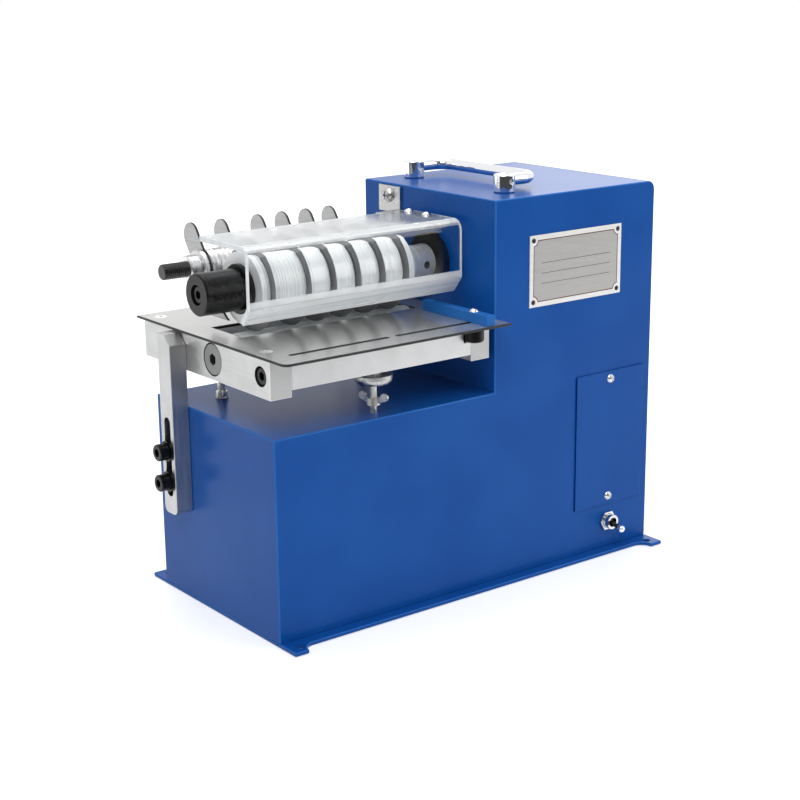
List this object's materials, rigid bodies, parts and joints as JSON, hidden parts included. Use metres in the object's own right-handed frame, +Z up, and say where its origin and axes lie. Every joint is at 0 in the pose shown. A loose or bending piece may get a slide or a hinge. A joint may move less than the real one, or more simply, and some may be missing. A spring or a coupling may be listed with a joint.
{
  "type": "strap cutting machine",
  "caption": "Bench strap cutting machine: a motor housing carries an overhung roll of disc knives under a clear guard, above a height-adjustable feed table with a roller.",
  "frame": {"origin": "centre of the four foot holes, on the underside", "axes": "+X along the shafts towards the upright, +Y from the operator to the back, +Z up"},
  "size_m": [0.394, 0.206, 0.318],
  "materials": {
    "blue_paint": "satin blue powder coat",
    "bright_steel": "zinc-plated, bright",
    "nameplate_alu": "brushed sheet",
    "chrome": "polished chrome",
    "black_oxide": "black oxide steel, satin",
    "knife_steel": "ground tool steel",
    "spacer_alu": "turned",
    "machined_alu": "milled, satin",
    "plate_steel": "brushed stainless",
    "bronze": "sintered bronze",
    "clear_acrylic": "clear polished acrylic",
    "belt_rubber": "matte belt",
    "drive_grey": "grey primer"
  },
  "bodies": {
    "frame": {"foot_plate": "blue_paint", "body_shell": "blue_paint", "rear_cover": "blue_paint", "rear_cover_screws": "bright_steel", "access_panel": "blue_paint", "panel_screws": "bright_steel", "nameplate": "nameplate_alu", "nameplate_rivets": "bright_steel", "handle_posts": "chrome", "handle_pins": "chrome", "switch_body": "bright_steel", "switch_nut": "bright_steel", "bearing_flange": "black_oxide", "shaft_bearings": "bright_steel", "bearing_plate": "drive_grey", "gear_motor": "drive_grey", "drive_belt": "belt_rubber", "stripper_rod": "black_oxide", "stripper_nuts": "spacer_alu", "stripper_spacers": "spacer_alu", "stripper_fingers": "knife_steel", "guard": "clear_acrylic", "guard_bracket": "machined_alu", "guard_screws": "bright_steel", "bracket_bolt": "bright_steel", "post_bolts": "black_oxide"},
    "knife_roll": {"knife_shaft": "bright_steel", "knives": "knife_steel", "ring_spacers": "spacer_alu", "knife_spacers": "spacer_alu", "clamp_washer": "black_oxide", "end_cap": "black_oxide", "end_screw": "black_oxide", "shaft_collar": "spacer_alu", "collar_screw": "black_oxide", "shaft_pulley": "machined_alu"},
    "motor_rotor": {"motor_shaft": "bright_steel", "motor_pulley": "machined_alu"},
    "table": {"table_plate": "plate_steel", "plate_screws": "bright_steel", "left_arm": "machined_alu", "right_arm": "machined_alu", "front_rail": "machined_alu", "rear_rail": "machined_alu", "frame_screws": "black_oxide", "edge_fence": "blue_paint", "fence_screw": "bright_steel", "fence_nut": "black_oxide", "roller_axle": "plate_steel", "slotted_post": "machined_alu", "lock_pad": "machined_alu"},
    "anvil": {"anvil_roller": "plate_steel", "roller_bushes": "bronze"},
    "jack_front": {"front_jack": "bright_steel"},
    "jack_left": {"left_jack": "bright_steel"},
    "jack_right": {"right_jack": "bright_steel"},
    "handle": {"handle_bail": "chrome"},
    "switch": {"switch_lever": "chrome"}
  },
  "joints": [
    {"name": "knife_spin", "type": "hinge", "parent": "frame", "child": "knife_roll", "pos_m": [0, -0.004, 0.2485], "axis": [1, 0, 0], "continuous": true},
    {"name": "motor_spin", "type": "hinge", "parent": "frame", "child": "motor_rotor", "pos_m": [0.13, -0.004, 0.064], "axis": [1, 0, 0], "continuous": true},
    {"name": "table_height", "type": "slide", "parent": "frame", "child": "table", "axis": [0, 0, 1], "range_m": [-0.005, 0]},
    {"name": "anvil_spin", "type": "hinge", "parent": "table", "child": "anvil", "pos_m": [-0.09, -0.004, 0.1996], "axis": [1, 0, 0], "continuous": true},
    {"name": "front_jack_turn", "type": "hinge", "parent": "frame", "child": "jack_front", "pos_m": [-0.088, -0.068, 0.156], "axis": [0, 0, 1], "range_deg": [-10, 2260]},
    {"name": "left_jack_turn", "type": "hinge", "parent": "frame", "child": "jack_left", "pos_m": [-0.1522, 0.04, 0.156], "axis": [0, 0, 1], "range_deg": [-10, 2260]},
    {"name": "right_jack_turn", "type": "hinge", "parent": "frame", "child": "jack_right", "pos_m": [-0.02, 0.04, 0.156], "axis": [0, 0, 1], "range_deg": [-10, 2260]},
    {"name": "handle_lift", "type": "hinge", "parent": "frame", "child": "handle", "pos_m": [0.051, 0.004, 0.313], "axis": [0, -1, 0], "range_deg": [0, 90]},
    {"name": "switch_toggle", "type": "hinge", "parent": "frame", "child": "switch", "pos_m": [0.1395, -0.085, 0.026], "axis": [-1, 0, 0], "range_deg": [0, 24]}
  ],
  "couplings": [
    {"joint": "motor_spin", "follows": "knife_spin", "ratio": 2.25},
    {"joint": "front_jack_turn", "follows": "table_height", "rad_per_m": -7854},
    {"joint": "left_jack_turn", "follows": "table_height", "rad_per_m": -7854},
    {"joint": "right_jack_turn", "follows": "table_height", "rad_per_m": -7854}
  ]
}
